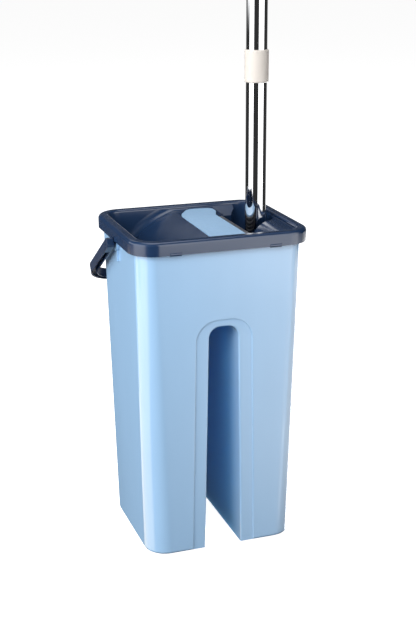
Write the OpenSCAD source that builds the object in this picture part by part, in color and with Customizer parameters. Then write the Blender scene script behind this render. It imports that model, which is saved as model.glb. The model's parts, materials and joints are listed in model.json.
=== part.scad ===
// Twin-leg squeeze bucket with its flat mop stored in the wringing leg.
// X runs along the long front, Y towards the back, Z up.
// The origin is the middle of the bucket's footprint, on the floor.

/* [Bucket] */
// Height of the bucket to the top of its rim
bucket_h = 375; // [370:1:380]
// Length of the body at the top
body_top_l = 192; // [191:1:193]
// Depth of the body at the top
body_top_w = 164; // [163:1:165]
// Length of the body at the floor
body_foot_l = 179; // [176:1:182]
// Depth of the body at the floor
body_foot_w = 157; // [155:1:159]
// Radius of the body's upright corners at the floor
body_r = 26; // [24:1:28]
// Radius of the body's upright corners at the top
body_top_r = 19.5; // [18:0.5:21]
// Thickness of the moulded walls
wall = 2.6; // [2:0.1:2.6]
// Half width of the gap between the legs at the floor
gap_foot = 22; // [21:0.5:23]
// Half width of the gap between the legs at its top
gap_top = 17; // [16:0.5:18]
// Height of the top of the gap
gap_h = 272; // [265:1:275]
// Width of the band round the gap, from the gap's wall
band_reach = 15; // [14:0.5:16]
// Depth of the band below the front face
band_depth = 1.5; // [1.3:0.1:1.6]

/* [Cover] */
// Length of the cover
rim_l = 205; // [204:1:205]
// Depth of the cover
rim_w = 177; // [176:1:178]
// Radius of the cover's corners
rim_r = 29; // [27:1:31]
// Height of the cover's skirt
skirt_h = 15; // [13:1:15]
// Width of the flat rim
rim_band = 12; // [11.5:0.5:12]
// Radius of the pole notch in the guide ramp
notch_r = 21; // [20.5:0.5:23]

/* [Handle] */
// Height of the handle's pivots
pivot_z = 355; // [354:0.5:355]
// Outer reach of the handle from its pivots
handle_reach = 129.5; // [120:0.5:132]
// Radius of the handle's outer corners
handle_corner = 45; // [40:1:48]
// Angle of the stored handle below the horizontal
handle_rest = 31.5; // [29:0.5:32]

/* [Mop] */
// Diameter of the pole tube
tube_d = 24; // [22:0.5:24]
// Distance of the pole from the bucket's centre
pole_x = 67; // [66.5:0.5:67]
// Length of the mop board
board_l = 322; // [300:2:330]
// Width of the mop board
board_w = 112; // [100:1:112]
// Thickness of the mop pad
pad_t = 7; // [6:0.5:7]
// Height of the lower end of the lowest tube
tube_foot_z = 232; // [232:1:240]
// Height of the lower collar's bottom edge
collar_z = 525.5; // [515:0.5:530]
// Height of each collar
collar_h = 35.5; // [30:0.5:40]
// Length of tube that shows between the collars
tube_show = 340; // [300:5:360]

/* [Hidden] */
$fn = 96;
eps = 0.5;

// Bucket
foot_gap = 1;
body_h = 360;
flange_t = 2.5;
flange_top = bucket_h - 11.5;
floor_t = 3;
foot_round = 4;
flange_l = 198.4;
flange_w = 171.4;
draft = atan((body_top_w - body_foot_w) / 2 / body_h);
gap_r = 13;
band_r = 25;
gap_round = 2;
band_round = band_depth;
frame_t = 3.8;
lip_t = 9.6;
foot_r = 6;
foot_recess = 1.2;
foot_xs = [-73, -42, 42, 73];
foot_y = 58;
socket_r = 7.5;
socket_x = 99.8;
pin_r = 3.5;
running_gap = 0.06;
drain_x = -58;
drain_z = 20;
drain_r = 9;
drain_pad_y = 80.5;

// Cover
skirt_z = bucket_h - skirt_h;
skirt_t = 2.4;
top_t = 2.4;
edge_r = 4.2;
inner_edge_r = 3;
core_l = 181;
core_w = 157.2;
core_r = 19;
core_foot = 325;
inner_l = rim_l - 2 * rim_band;
inner_w = rim_w - 2 * rim_band;
inner_r = 17.5;
ramp_r = 110;
tab_l = 13;
tab_x = 57;
tab_r = 2.2;
tab_proud = 0.8;
ramp_x = -8;
ramp_z = bucket_h - 4.7;
ramp_a0 = 15;
ramp_a1 = 43;
roll_r = 8;
ramp_fillet = 9;
guide_x = 75;
guide_z = bucket_h - 2.6;
guide_r = 22;
guide_a = 8;
shell_t = 2.4;
slot_x = 40.1;
slot_end = 61.2;
end_guide_foot = 344;
end_guide_low = 362;
end_guide_high = 374;
end_guide_x = 66;
end_guide_cut = [80, 52, 22];
seat_z = 367.8;
seat_gap = 0.4;
strip_wall_x = 29.2;

// Scraper plate, strip and clamp
plate_t = 3;
plate_front = -75.8;
strip_x = 31.7;
strip_tip = 39.7;
strip_top = 369.2;
strip_foot = 351;
strip_front = -73;
strip_back = 33;
clamp_foot = 346;
screw_spots = [[0, -60], [24, -60], [2, 44], [26, 60]];

// Handle
handle_y = 2;
arm_in = 103;
arm_out = 110.5;
handle_t = 11.5;
arm_tail = 9;

// Mop head
pad_x = 42;
board_t = 4.8;
board_x = pad_x + pad_t + 0.1;
board_back = board_x + board_t;
flip_z = 175;
board_foot = flip_z - board_l / 2;
board_r = 16;
flip_pin_r = 3;
sway_z = 198;
sway_pin_r = 3;
ear_t = 3.6;
ear_out = 15.5;
pocket_h = 55;
pocket_t = 0.6;

// Pole
tube_r = tube_d / 2;
tube_wall = 0.8;
collar_r = 13.5;
collar_2_z = collar_z + collar_h + tube_show;
joint_1 = collar_z + collar_h / 2;
joint_2 = collar_2_z + collar_h / 2;
pole_top = collar_2_z + collar_h + tube_show + 20;
grip_l = 118;
grip_r = 15.5;
cap_h = 36;

body_blue = [0.67, 0.80, 0.91];
cover_navy = [0.20, 0.26, 0.36];
cream = [0.95, 0.93, 0.90];
steel = [0.80, 0.81, 0.83];
dark = [0.22, 0.23, 0.26];

// ---------- shared shapes ----------

// A closed solid through rings of points, each ring anticlockwise seen from the last one's side
module loft(rings) {
    n = len(rings[0]);
    m = len(rings);
    sides = [for (j = [0:m - 2], i = [0:n - 1])
        [j * n + i, (j + 1) * n + i, (j + 1) * n + (i + 1) % n, j * n + (i + 1) % n]];
    foot = [for (i = [0:n - 1]) i];
    head = [for (i = [0:n - 1]) m * n - 1 - i];
    polyhedron([for (ring = rings) each ring], concat(sides, [foot, head]));
}

// A rounded rectangle at height z, with n steps to a corner
function rounded_ring(l, w, r, z, n = 12) =
    [for (k = [0:3], i = [0:n])
        let (a = 90 * k + 90 * i / n, sx = (k == 0 || k == 3) ? 1 : -1, sy = k < 2 ? 1 : -1)
        [sx * (l / 2 - r) + r * cos(a), sy * (w / 2 - r) + r * sin(a), z]];

// A flat rounded rectangle with true arcs
module rounded_square(l, w, r) {
    square([l - 2 * r, w], center = true);
    square([l, w - 2 * r], center = true);
    for (sx = [-1, 1], sy = [-1, 1])
        translate([sx * (l / 2 - r), sy * (w / 2 - r)]) circle(r);
}

// A plate lying against a plane of constant x, from x0 to x1, rounded in Y and Z
module upright_plate(x0, x1, y, z, r) {
    translate([x0, 0, 0]) rotate([90, 0, 90]) linear_extrude(x1 - x0)
        rounded_square(y, z, r);
}

module bar_along_x(x0, x1, r) {
    translate([x0, 0, 0]) rotate([0, 90, 0]) cylinder(h = x1 - x0, r = r);
}

module bar_along_y(y0, y1, r) {
    translate([0, y1, 0]) rotate([90, 0, 0]) cylinder(h = y1 - y0, r = r);
}

module at_pole(z) {
    translate([pole_x, 0, z]) children();
}

module ring_tube(z0, z1, r_out, r_in) {
    at_pole(z0) difference() {
        cylinder(h = z1 - z0, r = r_out);
        translate([0, 0, -eps]) cylinder(h = z1 - z0 + 2 * eps, r = r_in);
    }
}

// ---------- bucket ----------

function body_l(z) = body_foot_l + (body_top_l - body_foot_l) * z / body_h;
function body_w(z) = body_foot_w + (body_top_w - body_foot_w) * z / body_h;
function body_round(z) = body_r + (body_top_r - body_r) * z / body_h;

// The body's outer skin moved inwards by inset, from z0 to z1 with a round foot
function body_rings(inset, z0, z1, foot_r) = [
    for (a = [0:22.5:90])
        let (z = z0 + foot_r * (1 - cos(a)), d = 2 * inset + 2 * foot_r * (1 - sin(a)))
        rounded_ring(body_l(z) - d, body_w(z) - d, body_round(z) - d / 2, z),
    rounded_ring(body_l(z1) - 2 * inset, body_w(z1) - 2 * inset, body_round(z1) - inset, z1)];

// The inverted U of the gap between the legs, grown by d on every side
function gap_half(z) = gap_foot + (gap_top - gap_foot) * z / gap_h;
function gap_outline(d, r, n = 10) = concat(
    [[-gap_half(-5) - d, -5], [gap_half(-5) + d, -5]],
    [for (i = [0:n]) let (a = 90 * i / n)
        [gap_half(gap_h - r) + d - r + r * cos(a), gap_h + min(d, 9) - r + r * sin(a)]],
    [for (i = [0:n]) let (a = 90 + 90 * i / n)
        [-gap_half(gap_h - r) - d + r + r * cos(a), gap_h + min(d, 9) - r + r * sin(a)]]);

// Local frame of the front face: y runs inwards from the face, z up along it
module on_front() {
    translate([0, -body_foot_w / 2, 0]) rotate([draft, 0, 0]) children();
}

module on_both_faces() {
    on_front() children();
    mirror([0, 1, 0]) on_front() children();
}

module gap_slab(d, r, y0, y1) {
    translate([0, y1, 0]) rotate([90, 0, 0]) linear_extrude(y1 - y0) polygon(gap_outline(d, r));
}

// A round lead-in to the gap or to its band, starting that deep below the face
module mouth_round(reach, corner, round, depth) {
    rings = [for (a = [0:18:90])
        let (grow = round * (1 - cos(a)), deep = depth + round * (1 - sin(a)))
        [for (p = gap_outline(reach + grow, corner + grow)) [p[0], deep, p[1]]]];
    last = [for (p = gap_outline(reach + round, corner + round)) [p[0], -2, p[1]]];
    loft(concat(rings, [last]));
}

module body_skin() {
    difference() {
        loft(body_rings(0, foot_gap, flange_top, foot_round));
        loft(body_rings(wall, foot_gap + floor_t, flange_top + eps, foot_round));
    }
}

// Walls of the gap and the thicker frames at its two mouths
module gap_walls() {
    intersection() {
        loft(body_rings(0.02, foot_gap + 0.02, flange_top - 1, foot_round));
        union() {
            gap_slab(wall, gap_r + wall, -90, 90);
            on_both_faces() {
                gap_slab(band_reach + 2.5, band_r + 2.5, -2, frame_t);
                gap_slab(9, gap_r + 9, -2, lip_t);
            }
        }
    }
}

module body_flange() {
    translate([0, 0, flange_top - flange_t]) linear_extrude(flange_t) difference() {
        rounded_square(flange_l, flange_w, rim_r - skirt_t - 0.4);
        rounded_square(body_l(body_h) - 2 * wall, body_w(body_h) - 2 * wall, body_top_r - wall);
    }
}

// The handle's pivot sockets, each with a web down the wall
module handle_sockets() {
    for (side = [-1, 1]) scale([side, 1, 1]) translate([0, handle_y, pivot_z]) {
        bar_along_x(body_l(body_h) / 2 - wall, socket_x, socket_r);
        translate([body_l(body_h) / 2 - wall, -1.5, -20]) cube([4.6, 3, 20]);
    }
}

module bucket_body() {
    color(body_blue) difference() {
        union() {
            body_skin();
            gap_walls();
            body_flange();
            handle_sockets();
            translate([drain_x, 0, drain_z]) bar_along_y(75, drain_pad_y, drain_r + 6);
        }
        gap_slab(0, gap_r, -95, 95);
        on_both_faces() {
            gap_slab(band_reach, band_r, -3, band_depth);
            mouth_round(0, gap_r, gap_round, band_depth);
            mouth_round(band_reach, band_r, band_round, 0);
        }
        translate([0, handle_y, pivot_z]) bar_along_x(-105, 105, pin_r + running_gap);
        translate([drain_x, 0, drain_z]) bar_along_y(70, 90, drain_r);
        for (x = foot_xs, y = [-foot_y, foot_y])
            translate([x, y, 0]) cylinder(h = foot_gap + foot_recess, r = foot_r);
    }
}

module bucket_feet() {
    color(dark) for (x = foot_xs, y = [-foot_y, foot_y])
        translate([x, y, 0]) {
            cylinder(h = 0.8, r1 = foot_r - 0.8, r2 = foot_r - 0.1);
            translate([0, 0, 0.8]) cylinder(h = foot_gap + foot_recess - 0.8, r = foot_r - 0.1);
        }
}

// Rubber bung with a flange and a pull tab
module drain_plug() {
    color(dark) translate([drain_x, 0, drain_z]) {
        bar_along_y(72, drain_pad_y + 1, drain_r - running_gap);
        bar_along_y(drain_pad_y + 0.3, drain_pad_y + 3.8, drain_r + 4.5);
        difference() {
            translate([-2, drain_pad_y + 3, -6]) cube([4, 9, 12]);
            translate([0, drain_pad_y + 8.5, 0]) bar_along_x(-5, 5, 2.4);
        }
    }
}

// ---------- cover ----------

// Surface of the washing side's ramp, from the plate down to the mouth, then the round lip
function wash_ramp(d) = concat(
    [for (i = [0:8]) let (a = ramp_a0 + (ramp_a1 - ramp_a0) * i / 8)
        [ramp_x - (ramp_r + d) * sin(a) + ramp_r * sin(ramp_a0),
         ramp_z + (ramp_r + d) * cos(a) - ramp_r * cos(ramp_a0)]],
    [for (i = [1:4]) let (a = ramp_a1 + (90 - ramp_a1) * i / 4)
        [ramp_x - ramp_r * (sin(ramp_a1) - sin(ramp_a0)) - (roll_r + d) * sin(a) + roll_r * sin(ramp_a1),
         ramp_z - ramp_r * (cos(ramp_a0) - cos(ramp_a1)) + (roll_r + d) * cos(a) - roll_r * cos(ramp_a1)]]);
mouth_x = ramp_x - ramp_r * (sin(ramp_a1) - sin(ramp_a0)) - roll_r * (1 - sin(ramp_a1));

// Hollow over the washing side's ramp and the bridge, blended into the end walls with a fillet
module wash_hollow() {
    wall_y = inner_w / 2 - 0.35;
    blend = [for (i = [0:6]) let (a = 15 * i)
        [wall_y - ramp_fillet * (1 - cos(a)), ramp_fillet * (1 - sin(a))]];
    ends = concat([[wall_y + 4, ramp_fillet]], blend);
    mirrored = [for (i = [len(ends) - 1:-1:0]) [-ends[i][0], ends[i][1]]];
    loft([for (e = concat(ends, mirrored)) let (ramp = wash_ramp(e[1]))
        concat([[-95, e[0], core_foot - 5], [mouth_x - e[1], e[0], core_foot - 5]],
               [for (i = [len(ramp) - 1:-1:0]) [ramp[i][0], e[0], ramp[i][1]]],
               [[slot_x + 1, e[0], ramp_z + e[1]], [slot_x + 1, e[0], bucket_h + 5],
                [-95, e[0], bucket_h + 5]])]);
}

// Outline of the guide ramp on the wringing side, lowered by d
function guide_outline(d) = concat(
    [[95, guide_z + (95 - guide_x) * tan(guide_a) - d]],
    [for (i = [0:8]) let (a = guide_a + (90 - guide_a) * i / 8)
        [guide_x - (guide_r - d) * sin(a) + guide_r * sin(guide_a),
         guide_z + (guide_r - d) * cos(a) - guide_r * cos(guide_a)]],
    [[guide_x - guide_r * (1 - sin(guide_a)) + d, core_foot + 5 - d], [95, core_foot + 5 - d]]);

// The guide ramp fills the front of the wringing side, up to the notch that the pole stands in
module guide_block(d, y1) {
    difference() {
        translate([0, y1, 0]) rotate([90, 0, 0]) linear_extrude(y1 + 80) polygon(guide_outline(d));
        at_pole(core_foot - 10) cylinder(h = 80, r = notch_r + d);
    }
}

// Sloped lead-ins at the two ends of the wringing slot
module end_guide(x1) {
    translate([slot_x - 1, 0, 0]) rotate([90, 0, 90]) linear_extrude(x1 - slot_x + 1)
        polygon([[slot_end, end_guide_foot], [slot_end, end_guide_low],
                 [inner_w / 2, end_guide_high], [inner_w / 2 + 3, end_guide_high],
                 [inner_w / 2 + 3, end_guide_foot]]);
}

module end_guides() {
    difference() {
        end_guide(end_guide_x);
        translate([end_guide_cut[0], end_guide_cut[1], end_guide_foot - 1])
            cylinder(h = 40, r = end_guide_cut[2]);
    }
    mirror([0, 1, 0]) end_guide(guide_x - guide_r + 5);
}

// Everything inside the rim's inner edge
module inner_bounds() {
    loft([rounded_ring(inner_l - 4.4, inner_w - 0.8, inner_r - 1, core_foot - 5),
          rounded_ring(inner_l - 4, inner_w - 0.6, inner_r - 1, 366),
          rounded_ring(inner_l, inner_w, inner_r, bucket_h - inner_edge_r),
          rounded_ring(inner_l, inner_w, inner_r, bucket_h + 1)]);
}

// The round edge of the rim, all round its inside
module inner_round() {
    rings = [for (a = [0:15:90]) let (d = inner_edge_r * (1 - cos(a)))
        rounded_ring(inner_l + 2 * d, inner_w + 2 * d, inner_r + d, bucket_h - inner_edge_r * (1 - sin(a)))];
    loft(concat(rings, [rounded_ring(inner_l + 2 * inner_edge_r, inner_w + 2 * inner_edge_r,
                                     inner_r + inner_edge_r, bucket_h + 1)]));
}

module rim_frame() {
    difference() {
        loft(concat([rounded_ring(rim_l, rim_w, rim_r, skirt_z)],
            [for (a = [0:15:90]) let (d = edge_r * (1 - cos(a)))
                rounded_ring(rim_l - 2 * d, rim_w - 2 * d, rim_r - d, bucket_h - edge_r * (1 - sin(a)))]));
        translate([0, 0, skirt_z - eps]) linear_extrude(skirt_h - top_t + eps)
            rounded_square(rim_l - 2 * skirt_t, rim_w - 2 * skirt_t, rim_r - skirt_t);
    }
}

// Solid block that the two sides are carved from
module cover_core() {
    translate([0, 0, core_foot]) linear_extrude(bucket_h - top_t + 0.2 - core_foot)
        rounded_square(core_l, core_w, core_r);
}

// Underside of the washing ramp and the bridge, which leaves a moulded wall
module bridge_hollow() {
    under = wash_ramp(-shell_t);
    translate([0, 74, 0]) rotate([90, 0, 0]) linear_extrude(148)
        polygon(concat([[mouth_x + shell_t, core_foot - 5]],
            [for (i = [len(under) - 1:-1:0]) under[i]],
            [[ramp_x + 2, seat_z - shell_t], [strip_wall_x, seat_z - shell_t],
             [strip_wall_x, core_foot - 5]]));
}

// Rounded snap tabs low on the skirt
module snap_tabs() {
    for (x = [-tab_x, tab_x], side = [0, 1]) mirror([0, side, 0]) intersection() {
        translate([x, rim_w / 2 + tab_proud - tab_r, skirt_z + 1]) bar_along_x(-tab_l / 2, tab_l / 2, tab_r);
        translate([x - tab_l, rim_w / 2 - skirt_t, skirt_z - 5]) cube([2 * tab_l, 10, 20]);
    }
}

// Pocket for the strip and its clamp, open to the slot, and the room below for the pad's top edge
module strip_pocket() {
    translate([strip_x - 0.1, strip_front - 0.4, clamp_foot - 0.1])
        cube([20, strip_back - strip_front + 0.8, 40]);
    translate([strip_wall_x - 2, -74, core_foot - 1]) cube([20, 148, end_guide_foot - 0.2 - core_foot + 1]);
}

module top_cover() {
    color(cover_navy) difference() {
        union() {
            rim_frame();
            cover_core();
            snap_tabs();
        }
        intersection() {
            inner_bounds();
            union() {
                wash_hollow();
                translate([0, 0, seat_z]) linear_extrude(20) plate_outline(-seat_gap);
                difference() {
                    translate([slot_x, -80, core_foot - 5]) cube([60, 160, 60]);
                    guide_block(0, 0);
                    end_guides();
                }
            }
        }
        inner_round();
        bridge_hollow();
        intersection() {
            guide_block(shell_t, -shell_t);
            translate([0, -75, core_foot - 6]) cube([88.5, 75, 60]);
        }
        strip_pocket();
        plate_screw_holes();
    }
}

// ---------- scraper ----------

// A polygon's corners rounded, each corner given as [x, y, radius], with n steps to a corner
function unit(v) = v / norm(v);
function rounded_corners(c, n = 6) = [
    for (k = [0:len(c) - 1])
        let (p = [c[k][0], c[k][1]], r = c[k][2],
             before = c[(k + len(c) - 1) % len(c)], after = c[(k + 1) % len(c)],
             u = unit([before[0], before[1]] - p), v = unit([after[0], after[1]] - p),
             half = acos(u * v) / 2, mid = p + unit(u + v) * r / sin(half), from = p + u * r / tan(half),
             a0 = atan2(from[1] - mid[1], from[0] - mid[0]), turn = 180 - 2 * half,
             sense = sign(u[1] * v[0] - u[0] * v[1]))
        for (i = [0:n]) mid + r * [cos(a0 + sense * turn * i / n), sin(a0 + sense * turn * i / n)]];

// Plan of the plate, made smaller by d: a long panel with a wider head at the back
module plate_outline(d) {
    polygon(rounded_corners([
        [-9.6 + d, plate_front + d, 5], [31.2 - d, plate_front + d, 3], [31.2 - d, 35, 10],
        [37.8 - d, 53, 10], [38.2 - d, 69.5 - d, 7], [9 + d / 2, 74 - d, 14], [-8.4 + d, 46, 30]]));
}

module plate_screw_holes() {
    for (spot = screw_spots)
        translate([spot[0], spot[1], seat_z - 6]) cylinder(h = 8, r = 2.05);
}

module scraper_plate() {
    color(body_blue) difference() {
        union() {
            translate([0, 0, seat_z + 0.1]) linear_extrude(plate_t) plate_outline(0);
            for (spot = screw_spots)
                translate([spot[0], spot[1], seat_z - shell_t]) cylinder(h = shell_t + 1, r = 1.9);
        }
        for (spot = screw_spots)
            translate([spot[0], spot[1], seat_z - 3]) cylinder(h = 4.6, r = 1.25);
    }
}

// Rubber strip: a web with wiping lips towards the slot, ribs along its top and a groove in its foot
module scraper_strip() {
    web = 3.4;
    color(dark) translate([0, strip_back, 0]) rotate([90, 0, 0]) linear_extrude(strip_back - strip_front)
        polygon(concat(
            [[strip_x, strip_foot], [strip_x + 1.1, strip_foot], [strip_x + 1.1, strip_foot + 2.2],
             [strip_x + 2.3, strip_foot + 2.2], [strip_x + 2.3, strip_foot], [strip_x + web, strip_foot]],
            [for (z = [353.5, 358, 362.5]) each [[strip_x + web, z], [strip_tip, z + 0.6],
                [strip_tip, z + 1.4], [strip_x + web, z + 2.4]]],
            [[strip_x + web, 366], [strip_tip - 1.7, 367.6]],
            [for (x = [4.8, 2.4, 0]) each [[strip_x + x + 1.5, strip_top], [strip_x + x + 0.7, strip_top],
                [strip_x + x, strip_top - 1]]]));
}

// Rail under the strip with a tongue up its foot
module strip_clamp() {
    color(cover_navy) translate([0, strip_back, 0]) rotate([90, 0, 0]) linear_extrude(strip_back - strip_front)
        polygon([[strip_x, clamp_foot], [strip_tip - 0.4, clamp_foot], [strip_tip - 0.4, strip_foot - 0.1],
            [strip_x + 2.2, strip_foot - 0.1], [strip_x + 2.2, strip_foot + 2], [strip_x + 1.2, strip_foot + 2],
            [strip_x + 1.2, strip_foot - 0.1], [strip_x, strip_foot - 0.1]]);
}

module plate_screws() {
    color(steel) for (spot = screw_spots)
        translate([spot[0], spot[1], seat_z - shell_t]) {
            translate([0, 0, -1.8]) cylinder(h = 1.8, r = 3);
            cylinder(h = 3.4, r = 1.2);
        }
}

// ---------- handle ----------

// An upside-down U from y = 0 to its reach, with round corners
module bow(half, reach, r) {
    translate([-half, 0]) square([2 * half, reach - r]);
    translate([-half + r, 0]) square([2 * (half - r), reach]);
    for (side = [-1, 1]) translate([side * (half - r), reach - r]) circle(r);
}

// The bail in its own plane: x across the bucket, y out from the pivots
module handle_outline() {
    bar = arm_out - arm_in;
    difference() {
        bow(arm_out, handle_reach, handle_corner);
        translate([0, -1]) bow(arm_in, handle_reach - bar + 1, handle_corner - bar);
    }
}

// Rounded tail of each arm, past its pivot
module arm_tail_outline() {
    tail_r = 3;
    translate([-arm_tail, -handle_t / 2]) {
        translate([tail_r, 0]) square([arm_tail, handle_t]);
        translate([0, tail_r]) square([arm_tail, handle_t - 2 * tail_r]);
        for (z = [tail_r, handle_t - tail_r]) translate([tail_r, z]) circle(tail_r);
    }
}

// Hollow along the handle's underside, which leaves a lip on each side
module handle_channel() {
    bar = arm_out - arm_in;
    lip = 1.5;
    translate([0, 0, -handle_t / 2 - 1]) linear_extrude(8.5) difference() {
        intersection() {
            bow(arm_out - lip, handle_reach - lip, handle_corner - lip);
            translate([-arm_out, 13]) square([2 * arm_out, handle_reach]);
        }
        translate([0, -1]) bow(arm_in + lip, handle_reach - bar + lip + 1, handle_corner - bar + lip);
    }
}

module carry_handle() {
    boss_r = 4.5;
    color(cover_navy) translate([0, handle_y, pivot_z]) {
        rotate([-handle_rest, 0, 0]) {
            difference() {
                translate([0, 0, -handle_t / 2]) linear_extrude(handle_t) handle_outline();
                handle_channel();
            }
            for (x = [-arm_out, arm_in]) translate([x, 0, 0]) rotate([90, 0, 90])
                linear_extrude(arm_out - arm_in) arm_tail_outline();
        }
        for (side = [-1, 1]) scale([side, 1, 1]) {
            bar_along_x(socket_x + 0.4, arm_in + 1, boss_r);
            bar_along_x(94, socket_x + 1, pin_r);
        }
    }
}

// ---------- mop head ----------

module mop_board() {
    color(body_blue) translate([0, 0, flip_z]) difference() {
        union() {
            upright_plate(board_x, board_x + 2.6, board_w, board_l, board_r);
            upright_plate(board_x + 2, board_back, board_w - 8, board_l - 8, board_r - 4);
        }
        for (y = [-36.5, 36.5], z = [-120:40:120])
            if (abs(z) > 30 || abs(y) > 30) translate([0, y, z])
                upright_plate(board_x + 2.6, board_back + 1, 22, 30, 5);
        for (y = base_screw_ys, z = base_screw_zs)
            translate([0, y, z]) bar_along_x(board_x + 1, board_back + 1, 1.6);
    }
}

module mop_pad() {
    color([0.85, 0.86, 0.88]) translate([0, 0, flip_z])
        upright_plate(pad_x, pad_x + pad_t, board_w + 4, board_l + 3, board_r + 2);
}

module pad_pocket(z0, z1) {
    color([0.30, 0.36, 0.46]) intersection() {
        translate([0, 0, flip_z])
            upright_plate(board_back + 0.05, board_back + 0.05 + pocket_t, board_w - 4, board_l - 4, board_r - 2);
        translate([0, -100, z0]) cube([100, 200, z1 - z0]);
    }
}

module pad_pocket_upper() {
    pad_pocket(flip_z + board_l / 2 - pocket_h, flip_z + board_l / 2);
}

module pad_pocket_lower() {
    pad_pocket(board_foot, board_foot + pocket_h);
}

base_screw_ys = [-11, 11];
base_screw_zs = [-19, 11];

// Foot plate on the board with two ears round the flip pin
module swivel_base() {
    base_t = 2.4;
    color(cover_navy) translate([0, 0, flip_z]) difference() {
        union() {
            translate([0, 0, -4]) upright_plate(board_back + 0.05, board_back + base_t, 32, 46, 6);
            for (side = [-1, 1]) intersection() {
                union() {
                    translate([pole_x, 0, 0]) bar_along_y(-ear_out, ear_out, 7);
                    translate([board_back + 1, -ear_out, -13]) cube([pole_x - board_back - 1, 2 * ear_out, 20]);
                }
                translate([40, side > 0 ? ear_out - ear_t : -ear_out, -40]) cube([60, ear_t, 80]);
            }
        }
        translate([pole_x, 0, 0]) bar_along_y(-20, 20, flip_pin_r + running_gap);
        for (y = base_screw_ys, z = base_screw_zs)
            translate([0, y, z]) bar_along_x(board_back - 1, board_back + 4, 1.7);
    }
}

module base_screws() {
    color(steel) translate([0, 0, flip_z]) for (y = base_screw_ys, z = base_screw_zs)
        translate([0, y, z]) {
            bar_along_x(board_x + 1.1, board_back + 2.5, 1.5);
            bar_along_x(board_back + 2.45, board_back + 3.6, 2.6);
        }
}

// Barrel round the flip pin with a tongue up to the sway pin
module swivel_yoke() {
    color(cover_navy) difference() {
        union() {
            translate([pole_x, 0, flip_z]) bar_along_y(-ear_out + ear_t + 0.3, ear_out - ear_t - 0.3, 7);
            translate([pole_x - 5.2, -7.5, flip_z]) cube([10.4, 15, sway_z - flip_z]);
            translate([0, 0, sway_z]) bar_along_x(pole_x - 5.2, pole_x + 5.2, 7.5);
        }
        translate([pole_x, 0, flip_z]) bar_along_y(-20, 20, flip_pin_r + running_gap);
        translate([0, 0, sway_z]) bar_along_x(pole_x - 10, pole_x + 10, sway_pin_r + running_gap);
    }
}

module flip_pin() {
    color(steel) translate([pole_x, 0, flip_z]) bar_along_y(-ear_out, ear_out, flip_pin_r);
}

module sway_pin() {
    color(steel) translate([0, 0, sway_z]) bar_along_x(pole_x - 9.2, pole_x + 9.2, sway_pin_r);
}

// Fork at the foot of the pole, with a spigot up inside the tube
module pole_socket() {
    color(cover_navy) difference() {
        union() {
            intersection() {
                at_pole(sway_z - 9) cylinder(h = 45, r = tube_r);
                union() {
                    translate([pole_x - 20, -20, sway_z + 10]) cube([40, 40, 40]);
                    for (side = [-1, 1]) intersection() {
                        union() {
                            translate([pole_x - 20, -7.5, sway_z]) cube([40, 15, 20]);
                            translate([0, 0, sway_z]) bar_along_x(pole_x - 20, pole_x + 20, 7.5);
                        }
                        translate([pole_x + (side > 0 ? 5.6 : -9.2), -20, sway_z - 20]) cube([3.6, 40, 60]);
                    }
                }
                translate([0, -30, 0]) cube([100, 60, tube_foot_z - 0.1]);
            }
            at_pole(sway_z + 12) cylinder(h = 66, r = tube_r - tube_wall - 0.1);
        }
        translate([0, 0, sway_z]) bar_along_x(pole_x - 20, pole_x + 20, sway_pin_r + running_gap);
        at_pole(tube_foot_z) cylinder(h = 60, r = 8);
        translate([pole_x, 0, tube_foot_z + 18]) bar_along_y(-20, 20, 2.05);
    }
}

module socket_rivet() {
    color(steel) translate([pole_x, 0, tube_foot_z + 18]) {
        bar_along_y(-tube_r - 0.4, tube_r + 0.4, 1.95);
        for (side = [-1, 1]) scale([1, side, 1]) bar_along_y(tube_r + 0.02, tube_r + 1, 3.2);
    }
}

// ---------- pole ----------

module lower_tube() {
    color(steel) difference() {
        ring_tube(tube_foot_z, joint_1 - 0.5, tube_r, tube_r - tube_wall);
        translate([pole_x, 0, tube_foot_z + 18]) bar_along_y(-20, 20, 2.05);
    }
}

module middle_tube() {
    color(steel) ring_tube(joint_1 + 0.5, joint_2 - 0.5, tube_r, tube_r - tube_wall);
}

module upper_tube() {
    color(steel) ring_tube(joint_2 + 0.5, pole_top - 2, tube_r, tube_r - tube_wall);
}

// Plug inside two tube ends, hollow and with a thread-like row of beads
module connector(z) {
    r = tube_r - tube_wall - 0.1;
    color(cream) difference() {
        union() {
            at_pole(z - 40) cylinder(h = 80, r = r - 0.6);
            for (k = [-36:6:36]) at_pole(z + k - 1.2) cylinder(h = 2.4, r = r);
            at_pole(z - 0.4) cylinder(h = 0.8, r = tube_r - 0.1);
        }
        at_pole(z - 50) cylinder(h = 100, r = 7.5);
    }
}

module lower_connector() {
    connector(joint_1);
}

module upper_connector() {
    connector(joint_2);
}

// Moulded sleeve over a tube joint, with round shoulders
module collar(z) {
    shoulder = 1.6;
    at_pole(z) rotate_extrude() {
        difference() {
            union() {
                translate([0, shoulder]) square([collar_r, collar_h - 2 * shoulder]);
                square([collar_r - shoulder, collar_h]);
                for (h = [shoulder, collar_h - shoulder]) translate([collar_r - shoulder, h]) circle(shoulder);
            }
            translate([-1, -1]) square([tube_r + 0.05 + 1, collar_h + 2]);
        }
    }
}

module lower_collar() {
    color(cream) collar(collar_z);
}

module upper_collar() {
    color(cream) collar(collar_2_z);
}

// Soft sleeve at the top with shallow rings
module hand_grip() {
    z0 = pole_top - grip_l;
    color(cover_navy) at_pole(z0) rotate_extrude() difference() {
        union() {
            translate([0, 3]) square([grip_r, grip_l - 6]);
            square([grip_r - 3, grip_l]);
            for (h = [3, grip_l - 3]) translate([grip_r - 3, h]) circle(3);
        }
        translate([-1, -1]) square([tube_r + 1.05, grip_l + 2]);
        for (h = [14:9:grip_l - 14]) translate([grip_r + 1.6, h]) circle(2.8);
    }
}

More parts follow.
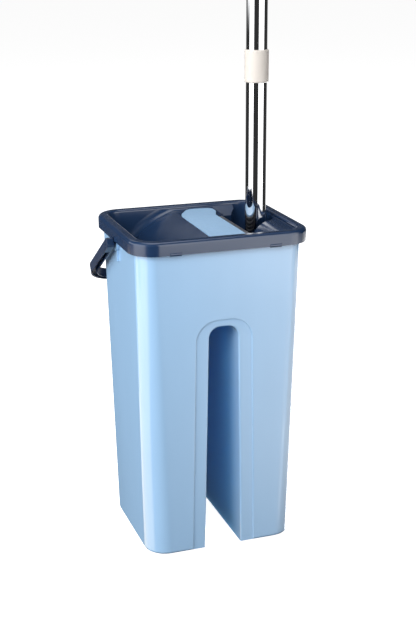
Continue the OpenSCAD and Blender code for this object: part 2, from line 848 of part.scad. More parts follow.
// End cap with a spigot in the tube and an eye to hang the mop by
module hang_cap() {
    eye_z = 20;
    color(cover_navy) translate([pole_x, 0, pole_top]) difference() {
        union() {
            cylinder(h = 5, r = grip_r - 1);
            translate([0, 0, -24]) cylinder(h = 25, r = tube_r - tube_wall - 0.1);
            bar_along_y_flat(eye_z, 14, 4);
            translate([-12, -4, 3]) cube([24, 8, eye_z - 3]);
        }
        translate([0, 0, eye_z]) bar_along_y(-20, 20, 7);
        translate([0, 0, -30]) cylinder(h = 24, r = 8);
    }
}

module bar_along_y_flat(z, r, half) {
    translate([0, 0, z]) bar_along_y(-half, half, r);
}

bucket_body();
top_cover();
scraper_plate();
scraper_strip();
strip_clamp();
plate_screws();
bucket_feet();
drain_plug();
carry_handle();
mop_board();
mop_pad();
pad_pocket_upper();
pad_pocket_lower();
swivel_base();
base_screws();
swivel_yoke();
flip_pin();
sway_pin();
pole_socket();
socket_rivet();
lower_tube();
lower_connector();
lower_collar();
middle_tube();
upper_connector();
upper_collar();
upper_tube();
hand_grip();
hang_cap();
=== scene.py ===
"""The looks of the flat mop and its twin-leg squeeze bucket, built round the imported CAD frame."""
import json
import math
import random

import bmesh
import bpy
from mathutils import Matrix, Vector


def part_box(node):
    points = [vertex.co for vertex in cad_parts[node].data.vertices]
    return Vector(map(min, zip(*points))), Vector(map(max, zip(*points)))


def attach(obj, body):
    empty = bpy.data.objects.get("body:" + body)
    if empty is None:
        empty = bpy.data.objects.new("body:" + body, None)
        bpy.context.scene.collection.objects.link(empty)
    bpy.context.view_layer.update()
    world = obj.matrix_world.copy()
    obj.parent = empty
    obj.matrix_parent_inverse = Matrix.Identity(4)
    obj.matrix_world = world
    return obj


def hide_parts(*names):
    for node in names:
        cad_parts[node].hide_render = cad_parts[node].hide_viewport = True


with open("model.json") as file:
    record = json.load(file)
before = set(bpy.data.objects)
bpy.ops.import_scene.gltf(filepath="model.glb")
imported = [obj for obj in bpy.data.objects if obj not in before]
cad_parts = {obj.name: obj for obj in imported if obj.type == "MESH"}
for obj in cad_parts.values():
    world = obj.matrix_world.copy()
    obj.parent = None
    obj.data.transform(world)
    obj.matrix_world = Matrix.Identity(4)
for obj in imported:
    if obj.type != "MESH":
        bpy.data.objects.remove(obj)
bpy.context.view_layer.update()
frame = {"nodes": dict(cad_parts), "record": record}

# ---------- helpers ----------


def ease(low, high, x):
    """0 below low, 1 above high, and smooth between."""
    t = min(1.0, max(0.0, (x - low) / (high - low)))
    return t * t * (3 - 2 * t)


def lerp(a, b, t):
    """The value a share t of the way from a to b."""
    return a + (b - a) * t


def link(obj):
    """Puts an object in the scene."""
    bpy.context.scene.collection.objects.link(obj)
    return obj


def corners(node):
    """The low and the high corner of a CAD node's box."""
    return (Vector(corner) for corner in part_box(node))


# ---------- camera ----------

SENSOR_MM = 36.0
FOCAL_SHARE = 1.914  # focal length over the image's long side
VIEW_AZIMUTH = math.radians(-19.98)
VIEW_ELEVATION = math.radians(19.03)
VIEW_DISTANCE = 1.4126
VIEW_TARGET = Vector((0.0292, 0.0, 0.2237))
SHIFT_X = -0.0262
SHIFT_Y = 0.0487


def make_camera():
    """The camera stands at the front left, a little above the bucket."""
    data = bpy.data.cameras.new("camera")
    data.sensor_width = SENSOR_MM
    data.lens = SENSOR_MM * FOCAL_SHARE
    data.shift_x = SHIFT_X
    data.shift_y = SHIFT_Y
    cam = link(bpy.data.objects.new("camera", data))
    back = Vector((
        math.sin(VIEW_AZIMUTH) * math.cos(VIEW_ELEVATION),
        -math.cos(VIEW_AZIMUTH) * math.cos(VIEW_ELEVATION),
        math.sin(VIEW_ELEVATION),
    ))
    cam.location = VIEW_TARGET + back * VIEW_DISTANCE
    cam.rotation_mode = "QUATERNION"
    cam.rotation_quaternion = (-back).to_track_quat("-Z", "Y")
    bpy.context.scene.camera = cam


make_camera()
bpy.context.scene.view_settings.view_transform = "Standard"

# ---------- materials ----------


class Look:
    """A Principled material and the node links that give it detail, with object coordinates in metres."""

    def __init__(self, name, color, rough, metal=0.0, specular=0.5, coat=0.0):
        self.material = bpy.data.materials.new(name)
        self.material.use_nodes = True
        tree = self.material.node_tree
        self.nodes = tree.nodes
        self.links = tree.links
        self.shader = self.nodes["Principled BSDF"]
        self.color = color
        self.rough = rough
        self.set("Base Color", (*color, 1))
        self.set("Roughness", rough)
        self.set("Metallic", metal)
        self.set("Specular IOR Level", specular)
        self.set("Coat Weight", coat)
        self.coords = self.nodes.new("ShaderNodeTexCoord").outputs["Object"]
        self.height = None

    def set(self, socket, value):
        self.shader.inputs[socket].default_value = value

    def stretched(self, scale):
        """Object coordinates times a scale per axis."""
        node = self.nodes.new("ShaderNodeMapping")
        node.inputs["Scale"].default_value = scale
        self.links.new(self.coords, node.inputs["Vector"])
        return node.outputs["Vector"]

    def noise(self, scale, detail=2.0, stretch=None, rough=0.5):
        node = self.nodes.new("ShaderNodeTexNoise")
        node.inputs["Scale"].default_value = scale
        node.inputs["Detail"].default_value = detail
        node.inputs["Roughness"].default_value = rough
        self.links.new(self.stretched(stretch) if stretch else self.coords, node.inputs["Vector"])
        return node.outputs["Fac"]

    def axis(self, letter):
        """One of the object coordinates."""
        node = self.nodes.new("ShaderNodeSeparateXYZ")
        self.links.new(self.coords, node.inputs["Vector"])
        return node.outputs[letter]

    def remap(self, value, low, high, to_low, to_high):
        node = self.nodes.new("ShaderNodeMapRange")
        node.inputs["From Min"].default_value = low
        node.inputs["From Max"].default_value = high
        node.inputs["To Min"].default_value = to_low
        node.inputs["To Max"].default_value = to_high
        self.links.new(value, node.inputs["Value"])
        return node.outputs["Result"]

    def math(self, kind, a, b):
        node = self.nodes.new("ShaderNodeMath")
        node.operation = kind
        for socket, value in zip(node.inputs, (a, b)):
            if isinstance(value, (int, float)):
                socket.default_value = value
            else:
                self.links.new(value, socket)
        return node.outputs["Value"]

    def tint(self, factor, other):
        """The base colour goes towards another colour where factor is high, over the tints before it."""
        node = self.nodes.new("ShaderNodeMix")
        node.data_type = "RGBA"
        node.inputs[6].default_value = (*self.color, 1)
        node.inputs[7].default_value = (*other, 1)
        before = self.shader.inputs["Base Color"]
        if before.is_linked:
            self.links.new(before.links[0].from_socket, node.inputs[6])
        self.links.new(factor, node.inputs[0])
        self.links.new(node.outputs[2], self.shader.inputs["Base Color"])
        return self

    def roughness(self, factor, spread):
        """The roughness wanders by spread each way."""
        value = self.remap(factor, 0.3, 0.7, self.rough - spread, self.rough + spread)
        self.links.new(value, self.shader.inputs["Roughness"])
        return self

    def bump(self, height, distance, strength=1.0):
        """Adds a relief of that depth, in metres, over the ones before it."""
        node = self.nodes.new("ShaderNodeBump")
        node.inputs["Strength"].default_value = strength
        node.inputs["Distance"].default_value = distance
        self.links.new(height, node.inputs["Height"])
        if self.height is not None:
            self.links.new(self.height, node.inputs["Normal"])
        self.height = node.outputs["Normal"]
        self.links.new(self.height, self.shader.inputs["Normal"])
        return self


def shade(color, factor):
    """The colour made darker or lighter."""
    return tuple(min(1.0, c * factor) for c in color)


def moulded(name, color, rough, specular=0.5, grain=0.00002):
    """Injection-moulded plastic: faint flow marks, uneven gloss and a slight orange peel."""
    look = Look(name, color, rough, specular=specular)
    look.tint(look.remap(look.noise(9, 3, (1, 1, 0.35)), 0.35, 0.65, 0, 1), shade(color, 0.95))
    look.roughness(look.noise(40, 4), rough * 0.18)
    return look.bump(look.noise(420, 2), grain, 0.5).bump(look.noise(55, 1), grain * 6, 0.25)


def pebbled(name, color, rough, scale, depth):
    """Plastic from an etched mould: small round pebbles, with painted shade on the low ground between them.
    """
    look = Look(name, color, rough, specular=0.4)
    cells = look.nodes.new("ShaderNodeTexVoronoi")
    cells.feature = "SMOOTH_F1"
    cells.inputs["Scale"].default_value = scale
    look.links.new(look.coords, cells.inputs["Vector"])
    # Painted shade: the low ground between the pebbles is darkened, following the same relief that the bump
    # draws
    look.tint(look.remap(cells.outputs["Distance"], 0.1, 0.7, 0, 1), shade(color, 0.86))
    look.roughness(look.noise(120, 3), 0.06)
    return look.bump(look.math("SUBTRACT", 1.0, cells.outputs["Distance"]), depth)


def rubber(name, color, rough):
    """Matt rubber with a fine skin and a little bloom."""
    look = Look(name, color, rough, specular=0.3)
    look.tint(look.remap(look.noise(60, 4), 0.45, 0.75, 0, 1), shade(color, 1.5))
    look.roughness(look.noise(90, 3), 0.08)
    return look.bump(look.noise(900, 3), 0.00006)


def metal(name, color, rough, scratch_axis, depth=0.00001):
    """Plated or drawn steel with faint lines along one axis."""
    look = Look(name, color, rough, metal=1.0)
    stretch = [1.0, 1.0, 1.0]
    stretch[scratch_axis] = 0.02
    lines = look.noise(700, 3, stretch)
    look.tint(look.remap(look.noise(25, 3), 0.3, 0.7, 0, 1), shade(color, 0.9))
    look.roughness(lines, rough * 0.35)
    return look.bump(lines, depth)


def microfibre(name, color):
    """Soft split-fibre pile with a fine fuzz."""
    look = Look(name, color, 0.95, specular=0.15)
    look.set("Sheen Weight", 0.6)
    look.tint(look.remap(look.noise(700, 4), 0.35, 0.65, 0, 1), shade(color, 0.72))
    look.roughness(look.noise(300, 2), 0.04)
    return look.bump(look.noise(2200, 3), 0.0004).bump(look.noise(500, 2), 0.0005)


def woven(name, color, thread, depth):
    """Plain weave of that thread spacing, over and under in Y and Z."""
    look = Look(name, color, 0.85, specular=0.2)
    look.set("Sheen Weight", 0.3)
    turns = 2 * math.pi / thread
    across = look.math("SINE", look.math("MULTIPLY", look.axis("Y"), turns), 0)
    along = look.math("SINE", look.math("MULTIPLY", look.axis("Z"), turns), 0)
    weave = look.math("MULTIPLY", across, along)
    look.tint(look.remap(weave, -1, 1, 0, 1), shade(color, 0.6))
    return look.bump(weave, depth).bump(look.noise(2500, 3), depth)


BLUE = (0.335, 0.535, 0.775)
NAVY = (0.011, 0.030, 0.078)
CREAM = (0.66, 0.615, 0.57)
STEEL = (0.62, 0.62, 0.64)
looks = {
    "bucket_plastic": moulded("bucket_plastic", BLUE, 0.09, 0.8, 0.000006),
    "cover_plastic": moulded("cover_plastic", NAVY, 0.22, 0.8),
    "plate_plastic": pebbled("plate_plastic", shade(BLUE, 0.98), 0.42, 900, 0.00025),
    "strip_rubber": rubber("strip_rubber", (0.085, 0.088, 0.1), 0.42),
    "screw_steel": metal("screw_steel", STEEL, 0.3, 2),
    "foot_rubber": rubber("foot_rubber", (0.02, 0.02, 0.022), 0.7),
    "plug_rubber": rubber("plug_rubber", (0.02, 0.026, 0.04), 0.6),
    "handle_plastic": moulded("handle_plastic", shade(NAVY, 0.9), 0.3),
    "board_plastic": pebbled("board_plastic", BLUE, 0.4, 1400, 0.00008),
    "pad_fabric": microfibre("pad_fabric", (0.70, 0.73, 0.78)),
    "stripe_fabric": microfibre("stripe_fabric", (0.10, 0.19, 0.38)),
    "thread": rubber("thread", (0.55, 0.60, 0.68), 0.7),
    "pocket_fabric": woven("pocket_fabric", (0.055, 0.085, 0.15), 0.0011, 0.00012),
    "swivel_plastic": moulded("swivel_plastic", NAVY, 0.36, 0.4, 0.00003),
    "pin_steel": metal("pin_steel", STEEL, 0.25, 1),
    "pole_chrome": metal("pole_chrome", (0.86, 0.87, 0.89), 0.05, 2, 0.000001),
    "connector_plastic": moulded("connector_plastic", CREAM, 0.4),
    "collar_plastic": moulded("collar_plastic", CREAM, 0.45, 0.25),
    "grip_rubber": rubber("grip_rubber", shade(NAVY, 0.9), 0.6),
    "cap_plastic": moulded("cap_plastic", NAVY, 0.3),
}
slot_of = {s["node"]: s["material_slot"] for s in frame["record"]["subparts"]}
body_of = {n: b for b, members in frame["record"]["behaviour"]["bodies"].items() for n in members}
for name, obj in frame["nodes"].items():
    obj.data.materials.clear()
    obj.data.materials.append(looks[slot_of[name]].material)

# Painted shade: the gap's walls are tinted a deeper, more saturated blue away from its two mouths, standing
# in for the shade and the bounced light deep in the gap
GAP_SHADE_BLUE = (0.25, 0.58, 0.92)
bucket = looks["bucket_plastic"]
gap_shade_across = bucket.remap(bucket.math("ABSOLUTE", bucket.axis("X"), 0), 0.0225, 0.0245, 1, 0)
gap_shade_deep = bucket.remap(bucket.math("ABSOLUTE", bucket.axis("Y"), 0), 0.035, 0.072, 1, 0)
bucket.tint(bucket.math("MULTIPLY", gap_shade_across, gap_shade_deep), GAP_SHADE_BLUE)

# ---------- moulded pieces with rounded edges ----------


WELD = 0.000002  # CAD vertices nearer than this become one
FLAT = math.radians(0.03)  # faces that turn less than this become one
SHARP = math.radians(30)  # edges that turn more than this are rounded
CREASE = math.radians(40)  # edges that still turn more than this are shaded as edges


def finished(node, width):
    """A copy of a CAD node, rounded at its sharp edges and smoothly shaded, in place of the node."""
    bm = bmesh.new()
    bm.from_mesh(frame["nodes"][node].data)
    bmesh.ops.remove_doubles(bm, verts=bm.verts, dist=WELD)
    bmesh.ops.dissolve_limit(
        bm, angle_limit=FLAT, verts=bm.verts, edges=bm.edges, use_dissolve_boundaries=False)
    sharp = [e for e in bm.edges if len(e.link_faces) == 2 and e.calc_face_angle(0) > SHARP]
    bmesh.ops.bevel(
        bm, geom=sharp, offset=width, offset_type="OFFSET", segments=2, profile=0.5,
        affect="EDGES", clamp_overlap=True, miter_outer="ARC")
    mesh = bpy.data.meshes.new(node + "_mesh")
    bm.to_mesh(mesh)
    bm.free()
    mesh.polygons.foreach_set("use_smooth", [True] * len(mesh.polygons))
    mesh.set_sharp_from_angle(angle=CREASE)
    piece = link(bpy.data.objects.new(node + "_skin", mesh))
    piece.data.materials.append(looks[slot_of[node]].material)
    normals = piece.modifiers.new("normals", "WEIGHTED_NORMAL")
    normals.keep_sharp = True
    normals.weight = 100
    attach(piece, body_of[node])
    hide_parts(node)


EDGE_ROUNDS = {
    "bucket_body": 0.0006,
    "top_cover": 0.0005,
    "scraper_plate": 0.0005,
    "carry_handle": 0.0004,
    "drain_plug": 0.0004,
    "mop_board": 0.0004,
    "swivel_base": 0.0003,
    "swivel_yoke": 0.0003,
    "pole_socket": 0.0003,
    "lower_collar": 0.0004,
    "upper_collar": 0.0004,
    "hand_grip": 0.0005,
    "hang_cap": 0.0005,
}
for node, width in EDGE_ROUNDS.items():
    finished(node, width)

# ---------- mop pad ----------

PAD_LOW, PAD_HIGH = corners("mop_pad")
PAD_MIDDLE = (PAD_LOW + PAD_HIGH) / 2
PAD_HALF = (PAD_HIGH - PAD_LOW) / 2
PAD_ROUND = 0.018
BOARD_LOW, BOARD_HIGH = corners("mop_board")
BOARD_MIDDLE = (BOARD_LOW + BOARD_HIGH) / 2
BOARD_HALF = (BOARD_HIGH - BOARD_LOW) / 2
BOARD_ROUND = 0.016

PAD_INSET = Vector((0.0007, 0.0030, 0.0030))  # how far the pad's body starts inside the CAD solid
PAD_VOXEL = 0.0028
CLOTH_FRAMES = 20
CLOTH_PRESSURE = 4
PUFF_LIMIT = 0.0009

PILE_PITCH = 0.0046
PILE_MARGIN = 0.0075
PILE_STEP = 0.0016
PILE_ROOT = 0.0009  # from the pad's working face to the middle of a row of loops
PILE_RADIUS = 0.0016
LOOP_LENGTH = 0.0048
LOOP_SWELL = 0.0007
STRIPED_ROWS = (4, 5, 9)

BINDING_HALF = 0.0042

POCKET_THICK = 0.0006
POCKET_INSET = 0.0006  # from the board's outline to where the cloth starts to roll over it
POCKET_HALF_Y = BOARD_HIGH.y - POCKET_INSET
POCKET_HALF_Z = BOARD_HALF.z - POCKET_INSET
POCKET_BACK = BOARD_HIGH.x + 0.0005
POCKET_DROP = POCKET_BACK - PAD_HIGH.x - 0.0003  # from the board's back nearly to the pad
POCKET_ROLL = 0.0018
POCKET_ROWS = 22
POCKET_COLUMNS = 36
POCKET_DROPS = 5  # steps over the edge, the first two round the roll
MOUTH_GAPE = 0.0016  # how far the mouth stands off the board in its middle
MOUTH_REACH = 0.009  # how far in from the mouth the gape fades
PUCKER = 0.00025
HEM_HALF = 0.0028
HEM_STEPS = 60


def add_piece(name, mesh, look, body="mop_head"):
    """Puts a mesh in the scene as a smooth piece with one material, riding on a body."""
    mesh.polygons.foreach_set("use_smooth", [True] * len(mesh.polygons))
    piece = link(bpy.data.objects.new(name, mesh))
    mesh.materials.append(looks[look].material)
    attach(piece, body)
    return piece


def use_modifiers(piece):
    """Makes the result of the piece's modifiers its own mesh."""
    bpy.context.view_layer.update()
    evaluated = piece.evaluated_get(bpy.context.evaluated_depsgraph_get())
    mesh = bpy.data.meshes.new_from_object(evaluated)
    piece.modifiers.clear()
    piece.data = mesh
    mesh.polygons.foreach_set("use_smooth", [True] * len(mesh.polygons))


def puffed_pad():
    """The pad's body: the CAD solid drawn in a little and puffed by cloth simulation."""
    mesh = frame["nodes"]["mop_pad"].data.copy()
    for vertex in mesh.vertices:
        vertex.co = Vector(
            PAD_MIDDLE[i] + (vertex.co[i] - PAD_MIDDLE[i]) * (PAD_HALF[i] - PAD_INSET[i]) / PAD_HALF[i]
            for i in range(3))
    piece = add_piece("pad_body", mesh, "pad_fabric")
    remesh = piece.modifiers.new("remesh", "REMESH")
    remesh.mode = "VOXEL"
    remesh.voxel_size = PAD_VOXEL
    use_modifiers(piece)
    start = [v.co.copy() for v in piece.data.vertices]
    cloth = piece.modifiers.new("cloth", "CLOTH")
    cloth.settings.use_pressure = True
    cloth.settings.uniform_pressure_force = CLOTH_PRESSURE
    cloth.settings.effector_weights.gravity = 0
    cloth.point_cache.frame_end = CLOTH_FRAMES
    for number in range(1, CLOTH_FRAMES + 1):
        bpy.context.scene.frame_set(number)
    use_modifiers(piece)
    bpy.context.scene.frame_set(1)
    for vertex, rest in zip(piece.data.vertices, start):
        moved = vertex.co - rest
        if moved.length > PUFF_LIMIT:
            vertex.co = rest + moved * (PUFF_LIMIT / moved.length)
    rounder = piece.modifiers.new("rounder", "SUBSURF")
    rounder.levels = 1
    rounder.render_levels = 1
    use_modifiers(piece)
    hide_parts("mop_pad")


def outline_half_width(z, half_y, half_z, corner):
    """Half the width of a rounded rectangle at height z from its middle."""
    over = abs(z) - (half_z - corner)
    if over <= 0:
        return half_y
    return half_y - corner + math.sqrt(max(0.0, corner ** 2 - over ** 2))


def tube(bm, path, radii, sides=8, flat=1.0):
    """A tube along points of a path in a plane of constant X. flat is its depth in X over its width."""
    rings = []
    for k, (point, radius) in enumerate(zip(path, radii)):
        along = (path[min(k + 1, len(path) - 1)] - path[max(k - 1, 0)]).normalized()
        across = Vector((0, -along.z, along.y))
        rings.append([bm.verts.new(
            point + across * radius * math.cos(2 * math.pi * i / sides)
            + Vector((1, 0, 0)) * radius * flat * math.sin(2 * math.pi * i / sides)) for i in range(sides)])
    for a, b in zip(rings, rings[1:]):
        for i in range(sides):
            j = (i + 1) % sides
            bm.faces.new((a[i], a[j], b[j], b[i]))
    bm.faces.new(rings[0][::-1])
    bm.faces.new(rings[-1])


def made(bm, name):
    """The mesh of that bmesh, with its faces turned outwards."""
    bmesh.ops.recalc_face_normals(bm, faces=bm.faces)
    mesh = bpy.data.meshes.new(name)
    bm.to_mesh(mesh)
    bm.free()
    return mesh


def pile():
    """Looped microfibre in lengthwise rows over the pad's working face, with navy rows among the white."""
    rng = random.Random(7)
    half_y = PAD_HIGH.y - PILE_MARGIN
    half_z = PAD_HALF.z - PILE_MARGIN
    corner = PAD_ROUND - PILE_MARGIN / 2
    rows = int(half_y / PILE_PITCH)
    bundles = {"pad_fabric": bmesh.new(), "stripe_fabric": bmesh.new()}
    for row in range(-rows, rows + 1):
        y = row * PILE_PITCH
        reach = half_z
        while outline_half_width(reach, half_y, half_z, corner) < abs(y) and reach > 0:
            reach -= PILE_STEP
        count = int(2 * reach / PILE_STEP)
        path = []
        radii = []
        shift = rng.uniform(0, LOOP_LENGTH)
        for k in range(count + 1):
            z = -reach + 2 * reach * k / count
            swell = LOOP_SWELL * abs(math.sin(math.pi * (z + shift) / LOOP_LENGTH))
            sway = 0.0005 * math.sin(2 * math.pi * z / (3.1 * LOOP_LENGTH) + row)
            sway += rng.uniform(-0.0002, 0.0002)
            path.append(Vector((PAD_LOW.x + PILE_ROOT, y + sway, PAD_MIDDLE.z + z)))
            radii.append(PILE_RADIUS + swell + rng.uniform(-0.0001, 0.0001))
        tube(bundles["stripe_fabric" if abs(row) in STRIPED_ROWS else "pad_fabric"], path, radii)
    for look, bm in bundles.items():
        add_piece("pile_" + look, made(bm, "pile"), look)


def round_the_pad(x, inset, step):
    """Points round the pad's outline drawn in by inset, at one X. The last point is the first again."""
    half_y = PAD_HIGH.y - inset
    half_z = PAD_HALF.z - inset
    corner = PAD_ROUND - inset
    points = []
    for sy, sz, start in ((1, 1, 0), (-1, 1, 90), (-1, -1, 180), (1, -1, 270)):
        for k in range(13):
            angle = math.radians(start + 7.5 * k)
            points.append(Vector((
                x, sy * (half_y - corner) + corner * math.cos(angle),
                PAD_MIDDLE.z + sz * (half_z - corner) + corner * math.sin(angle))))
    points.append(points[0])
    even = [points[0]]
    for a, b in zip(points, points[1:]):
        pieces = max(1, int((b - a).length / step))
        even.extend(a.lerp(b, (k + 1) / pieces) for k in range(pieces))
    return even


def stitches(name, path, length):
    """A row of short threads along a path, each a little plump capsule."""
    bm = bmesh.new()
    travelled = 0.0
    for a, b in zip(path, path[1:]):
        travelled += (b - a).length
        if travelled < length * 1.5:
            continue
        travelled = 0.0
        along = (b - a).normalized()
        points = [b + along * length * share for share in (-0.5, -0.3, 0, 0.3, 0.5)]
        tube(bm, points, [0.0001, 0.00028, 0.00034, 0.00028, 0.0001], 6)
    add_piece(name, made(bm, name), "thread")


def binding():
    """Woven tape folded round the pad's edge, with a row of stitches on each side."""
    path = round_the_pad(PAD_MIDDLE.x, BINDING_HALF, 0.003)
    bm = bmesh.new()
    tube(bm, path, [BINDING_HALF] * len(path), 14, flat=0.78)
    add_piece("pad_binding", made(bm, "binding"), "pocket_fabric")
    for name, side in (("stitches_front", -1), ("stitches_back", 1)):
        x = PAD_MIDDLE.x + side * BINDING_HALF * 0.72
        stitches(name, round_the_pad(x, BINDING_HALF * 1.5, 0.0008), 0.0028)


def over_edge(y, z, out_y, out_z, k):
    """The point k steps from a place on the board's edge, over it and down to the pad."""
    if k <= 2:
        angle = math.radians(45 * k)
        out = POCKET_ROLL * math.sin(angle)
        down = POCKET_ROLL * (1 - math.cos(angle))
    else:
        out = POCKET_ROLL
        down = POCKET_ROLL + (POCKET_DROP - POCKET_ROLL) * (k - 2) / (POCKET_DROPS - 2)
    return Vector((POCKET_BACK - down, y + out_y * out, BOARD_MIDDLE.z + z + out_z * out))


def pocket_row(z, end, mouth):
    """Points across the board at height z from its middle, with the cloth turned down at both sides."""
    width = outline_half_width(z, POCKET_HALF_Y, POCKET_HALF_Z, BOARD_ROUND)
    over = max(0.0, abs(z) - (POCKET_HALF_Z - BOARD_ROUND)) / BOARD_ROUND
    tilt = math.asin(min(1.0, over))
    near_mouth = math.exp(-abs(abs(z) - mouth) / MOUTH_REACH)
    steps = range(1, POCKET_DROPS + 1)
    line = [over_edge(-width, z, -math.cos(tilt), end * math.sin(tilt), k) for k in reversed(steps)]
    for j in range(POCKET_COLUMNS + 1):
        u = -1 + 2 * j / POCKET_COLUMNS
        off = near_mouth * (1 - u * u) * (MOUTH_GAPE + PUCKER * math.sin(u * 31))
        line.append(Vector((POCKET_BACK + off, width * u, BOARD_MIDDLE.z + z)))
    line += [over_edge(width, z, math.cos(tilt), end * math.sin(tilt), k) for k in steps]
    return line


def pocket(node, end):
    """A fabric pocket over one end of the board, sewn to the pad. end is 1 for the upper, -1 the lower."""
    low, high = corners(node)
    mouth = abs((low.z if end > 0 else high.z) - BOARD_MIDDLE.z)
    bm = bmesh.new()
    grid = []
    for i in range(POCKET_ROWS + 1):
        z = end * lerp(mouth, POCKET_HALF_Z, math.sin(math.pi / 2 * i / POCKET_ROWS))
        grid.append([bm.verts.new(point) for point in pocket_row(z, end, mouth)])
    for a, b in zip(grid, grid[1:]):
        for j in range(len(a) - 1):
            bm.faces.new((a[j], a[j + 1], b[j + 1], b[j]))
    last = grid[-1][POCKET_DROPS:POCKET_DROPS + POCKET_COLUMNS + 1]
    across = [v.co.y for v in last]
    for k in range(1, POCKET_DROPS + 1):
        row = [bm.verts.new(over_edge(y, end * POCKET_HALF_Z, 0, end, k)) for y in across]
        for j in range(POCKET_COLUMNS):
            bm.faces.new((last[j], last[j + 1], row[j + 1], row[j]))
        last = row
    bmesh.ops.remove_doubles(bm, verts=bm.verts, dist=0.00005)
    area = sum(f.calc_area() for f in bm.faces)
    piece = add_piece(node + "_cloth", made(bm, node), "pocket_fabric")
    thicker = piece.modifiers.new("thicker", "SOLIDIFY")
    thicker.thickness = POCKET_THICK
    thicker.offset = 0
    use_modifiers(piece)
    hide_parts(node)


def pocket_hem(name, end):
    """The turned hem along a pocket's mouth, with its row of stitches."""
    low, high = corners("pad_pocket_" + name)
    z = (low.z if end > 0 else high.z) + end * 0.0026
    half_y = POCKET_HALF_Y - 0.0006
    path = []
    for j in range(HEM_STEPS + 1):
        u = -1 + 2 * j / HEM_STEPS
        path.append(Vector((POCKET_BACK + 0.0001 + MOUTH_GAPE * (1 - u * u), half_y * u, z)))
    bm = bmesh.new()
    tube(bm, path, [HEM_HALF] * len(path), 12, flat=0.22)
    add_piece("hem_" + name, made(bm, "hem"), "pocket_fabric")
    line = []
    for a, b in zip(path, path[1:]):
        line.extend(a.lerp(b, k / 4) + Vector((0.00065, 0, end * 0.0012)) for k in range(4))
    stitches("hem_stitches_" + name, line, 0.0026)


puffed_pad()
pile()
binding()
for end, name in ((1, "upper"), (-1, "lower")):
    pocket("pad_pocket_" + name, end)
    pocket_hem(name, end)

# ---------- stage ----------


def make_floor():
    """A plain pale floor. Light passes it, so that the softboxes can reach below its level."""
    bpy.ops.mesh.primitive_plane_add(size=30, location=(0, 0, 0))
    floor = bpy.context.object
    floor.name = "floor"
    look = Look("floor", (0.9, 0.9, 0.9), 0.9, specular=0.0)
    look.tint(look.noise(0.5), (0.88, 0.88, 0.88))
    look.set("Emission Color", (1, 1, 1, 1))
    look.set("Emission Strength", 0.93)
    floor.data.materials.append(look.material)
    floor.visible_diffuse = False
    floor.visible_glossy = False
    floor.visible_transmission = False
    floor.visible_shadow = False


def around(azimuth, distance, height):
    """A place round the object. Azimuth 0 is the front and 90 the right."""
    angle = math.radians(azimuth)
    return (math.sin(angle) * distance, -math.cos(angle) * distance, height)


def area_light(name, width, height, radiance, location):
    """A light of that size and radiance. It faces down until it is turned."""
    data = bpy.data.lights.new(name, "AREA")
    data.shape = "RECTANGLE"
    data.size = width
    data.size_y = height
    data.energy = radiance * math.pi * width * height
    light = link(bpy.data.objects.new(name, data))
    light.location = location
    return light


def softbox(name, azimuths, distance, heights, radiance):
    """An upright light from one azimuth to the other. It lights the surfaces, and reflections() makes what
    shows in their gloss."""
    middle = sum(azimuths) / 2
    width = 2 * distance * math.tan(math.radians(azimuths[1] - azimuths[0]) / 2)
    height = heights[1] - heights[0]
    light = area_light(name, width, height, radiance, around(middle, distance, sum(heights) / 2))
    light.rotation_euler = (math.radians(90), 0, math.radians(middle))
    light.visible_glossy = False


AMBIENT = 0.035
WARM = (1.0, 0.72, 0.35)
CREAM_LIGHT = (1.0, 0.79, 0.52)
WHITE = (1.0, 1.0, 1.0)
SCREEN_RADIUS = 1.6
SCREEN_FOOT = -1.2
SCREEN_TOP = 1.8
SCREEN_STEP = 0.03
# Bright panels that show in glossy surfaces: azimuths at the foot, azimuths at the top, heights,
# softness of the left and right edges in degrees and of the foot and top in metres, radiance, colour.
# The body shows those below the floor's level, and the pole and the cover those above.
PANELS = (
    ((-154, -73), (-154, -73), (-1.15, -0.60), (2, 2), (0.2, 0.01), 2.05, WARM),
    ((-154, -73), (-154, -42), (-0.62, -0.06), (2, 2), (0.01, 0.01), 2.2, CREAM_LIGHT),
    ((-103, -50), (-103, -50), (-0.05, 1.6), (2, 2), (0.02, 0.1), 2.4, WHITE),
    ((4, 62), (4, 62), (-0.05, 1.6), (2, 2), (0.02, 0.1), 2.4, WHITE),
    ((20, 96), (20, 96), (-1.1, -0.04), (24, 8), (0.6, 0.02), 2.7, WHITE),
    ((20, 96), (20, 96), (-0.45, -0.04), (24, 8), (0.4, 0.02), 4.2, WHITE),
    ((98, 150), (98, 150), (-1.1, -0.04), (2, 6), (0.1, 0.02), 8.0, WHITE),
    ((125, 188), (125, 188), (-0.06, 0.58), (6, 6), (0.05, 0.05), 0.9, WHITE),
    ((168, 194), (168, 194), (0.93, 1.75), (8, 8), (0.5, 0.1), 1.2, WHITE),
    ((-140, -104), (-140, -104), (0.45, 1.1), (10, 10), (0.15, 0.2), 2.2, WHITE),
)


def panel_glow(azimuth, z):
    """The colour of the brightest panel at that azimuth and height."""
    best = (AMBIENT,) * 3
    for foot, top, heights, soft, rise, radiance, color in PANELS:
        up = min(1.0, max(0.0, (z - heights[0]) / (heights[1] - heights[0])))
        left = lerp(foot[0], top[0], up)
        right = lerp(foot[1], top[1], up)
        turned = azimuth + 360 if right > 180 and azimuth < 0 else azimuth
        across = ease(left - soft[0] / 2, left + soft[0] / 2, turned)
        across *= 1 - ease(right - soft[1] / 2, right + soft[1] / 2, turned)
        along = ease(heights[0], heights[0] + rise[0], z) * (1 - ease(heights[1] - rise[1], heights[1], z))
        if radiance * across * along > max(best):
            best = tuple(c * radiance * across * along for c in color)
    return best


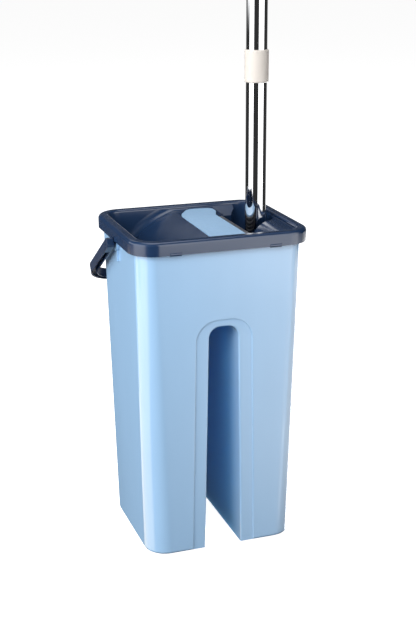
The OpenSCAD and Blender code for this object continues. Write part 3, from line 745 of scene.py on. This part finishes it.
def reflections():
    """A round screen, dim but for its bright panels, that only glossy rays see."""
    rows = round((SCREEN_TOP - SCREEN_FOOT) / SCREEN_STEP) + 1
    columns = 360
    points = []
    glow = []
    for j in range(rows):
        z = SCREEN_FOOT + j * SCREEN_STEP
        for azimuth in range(-180, 180):
            points.append(around(azimuth, SCREEN_RADIUS, z))
            glow.extend((*panel_glow(azimuth, z), 1.0))
    faces = []
    for j in range(rows - 1):
        for i in range(columns):
            k = (i + 1) % columns
            faces.append((j * columns + i, j * columns + k, (j + 1) * columns + k, (j + 1) * columns + i))
    mesh = bpy.data.meshes.new("reflections")
    mesh.from_pydata(points, [], faces)
    mesh.attributes.new("glow", "FLOAT_COLOR", "POINT").data.foreach_set("color", glow)
    screen = link(bpy.data.objects.new("reflections", mesh))
    mat = bpy.data.materials.new("reflections")
    mat.use_nodes = True
    nodes = mat.node_tree.nodes
    nodes.clear()
    out = nodes.new("ShaderNodeOutputMaterial")
    light = nodes.new("ShaderNodeEmission")
    color = nodes.new("ShaderNodeAttribute")
    color.attribute_name = "glow"
    mat.node_tree.links.new(color.outputs["Color"], light.inputs["Color"])
    mat.node_tree.links.new(light.outputs[0], out.inputs["Surface"])
    mat.cycles.emission_sampling = "NONE"
    mesh.materials.append(mat)
    screen.visible_camera = False
    screen.visible_diffuse = False
    screen.visible_transmission = False
    screen.visible_shadow = False


def key_light(azimuth, distance, height, size, radiance):
    """A nearer light turned to the body, so that the body is lighter at its top than at its foot."""
    light = area_light("key", size, size, radiance, around(azimuth, distance, height))
    to_body = Vector((0, 0, 0.3)) - light.location
    light.rotation_euler = to_body.to_track_quat("-Z", "Y").to_euler()
    light.visible_glossy = False


def make_world():
    """White where the camera looks past the object, and dim as a light."""
    world = bpy.data.worlds.new("world")
    world.use_nodes = True
    nodes = world.node_tree.nodes
    links = world.node_tree.links
    path = nodes.new("ShaderNodeLightPath")
    strength = nodes.new("ShaderNodeMapRange")
    strength.inputs["To Min"].default_value = AMBIENT
    strength.inputs["To Max"].default_value = 1.05
    links.new(path.outputs["Is Camera Ray"], strength.inputs["Value"])
    background = nodes["Background"]
    background.inputs["Color"].default_value = (1, 1, 1, 1)
    links.new(strength.outputs["Result"], background.inputs["Strength"])
    bpy.context.scene.world = world


make_floor()
softbox("left", (-112, -48), 1.6, (-0.4, 2.3), 3.1)
softbox("right", (0, 60), 1.8, (-0.3, 2.5), 1.35)
softbox("back", (120, 165), 2.2, (1.2, 2.6), 1.8)
key_light(-38, 1.0, 0.9, 0.6, 6.6)
reflections()
area_light("overhead", 2.0, 2.0, 2.2, (0, 0.2, 3.2))
make_world()
